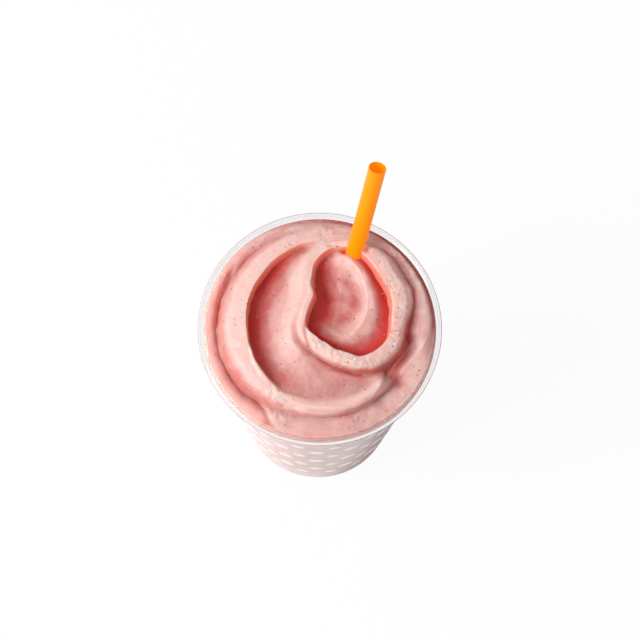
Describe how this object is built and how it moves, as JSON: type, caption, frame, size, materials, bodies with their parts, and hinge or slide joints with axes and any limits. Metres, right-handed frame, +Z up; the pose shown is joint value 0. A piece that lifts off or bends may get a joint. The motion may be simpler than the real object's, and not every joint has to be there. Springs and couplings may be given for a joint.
{
  "type": "fruit smoothie",
  "caption": "Clear tumbler filled to the brim with thick pink fruit smoothie, its top a folded swirl above the rolled rim, with an orange drinking straw.",
  "frame": {"origin": "on the cup's axis, at the plane that the foot ring stands on", "axes": "+Z up along the cup's axis, +Y towards the back, where the straw leans, +X to the right"},
  "size_m": [0.098, 0.1034, 0.1657],
  "materials": {
    "clear_cup": "clear moulded plastic, glossy",
    "blended_fruit": "thick blended fruit, pale pink, moist, with fine specks",
    "orange_straw": "smooth extruded plastic, satin gloss"
  },
  "bodies": {
    "root": {"cup": "clear_cup", "smoothie": "blended_fruit", "straw": "orange_straw"}
  },
  "joints": []
}
